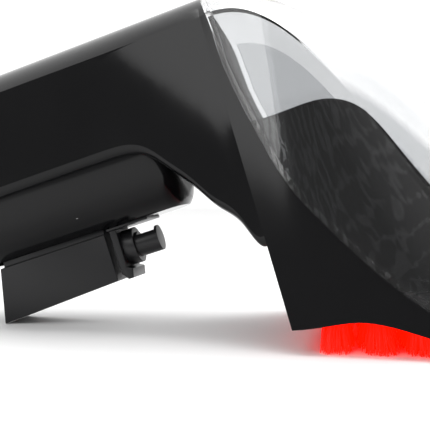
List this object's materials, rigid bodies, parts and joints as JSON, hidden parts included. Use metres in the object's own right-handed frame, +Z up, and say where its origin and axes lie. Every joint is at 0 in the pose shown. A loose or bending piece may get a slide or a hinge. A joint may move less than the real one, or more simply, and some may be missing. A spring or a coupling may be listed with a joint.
{
  "type": "carpet cleaner hand tool",
  "caption": "Hand tool of a portable carpet cleaner: black grip with a suction duct, clear nozzle cover, red scrub brush, spray trigger and swivel hose collar.",
  "frame": {"origin": "centre of the footprint, on the surface that the bristle tips and the trigger's rear corner rest on", "axes": "+X forward to the suction mouth, +Y to the tool's left, +Z up; symmetric about Y = 0 but for the screws"},
  "size_m": [0.203, 0.084, 0.0979],
  "materials": {
    "black_gloss": "glossy moulded black ABS",
    "dark_satin": "satin moulded dark grey ABS",
    "clear_cover": null,
    "rubber_seal": "moulded black rubber",
    "grey_acetal": "natural grey acetal",
    "clear_hose": "translucent silicone hose",
    "red_bristle": "red nylon bristle tufts",
    "steel": "zinc plated steel"
  },
  "bodies": {
    "handset": {"right_shell": "black_gloss", "left_shell": "black_gloss", "base_plate": "black_gloss", "clear_cover": "clear_cover", "suction_lip": "rubber_seal", "cover_gasket": "clear_hose", "duct_floor": "black_gloss", "hose_spigot": "dark_satin", "collar_seal": "rubber_seal", "retaining_ring": "steel", "valve_housing": "black_gloss", "slot_trim": "dark_satin", "housing_cap": "dark_satin", "inlet_barb": "grey_acetal", "inlet_tube": "clear_hose", "valve_body": "grey_acetal", "stem_seal": "rubber_seal", "outlet_tube": "clear_hose", "trigger_pin": "steel", "front_plate": "dark_satin", "keyed_plug": "dark_satin", "nozzle_bracket": "dark_satin", "spray_nozzle": "grey_acetal", "nozzle_nut": "grey_acetal", "bristles": "red_bristle", "brush_block": "dark_satin", "brush_screws": "steel", "shell_screws": "steel"},
    "trigger": {"trigger": "dark_satin", "trigger_spring": "steel"},
    "valve_stem": {"valve_stem": "steel"},
    "swivel_collar": {"swivel_collar": "dark_satin"}
  },
  "joints": [
    {"name": "trigger_squeeze", "type": "hinge", "parent": "handset", "child": "trigger", "pos_m": [-0.03487, 0, 0.03387], "axis": [0, 1, 0], "range_deg": [0, 6], "stiffness_Nm_per_rad": 0.6, "springref_deg": -20.05},
    {"name": "valve_stroke", "type": "slide", "parent": "handset", "child": "valve_stem", "axis": [-0.309, 0, 0.9511], "range_m": [0, 0.00172]},
    {"name": "collar_turn", "type": "hinge", "parent": "handset", "child": "swivel_collar", "pos_m": [-0.08807, 0, 0.04876], "axis": [0.9511, 0, 0.309], "continuous": true}
  ],
  "couplings": [
    {"joint": "valve_stroke", "follows": "trigger_squeeze", "m_per_rad": 0.016}
  ]
}
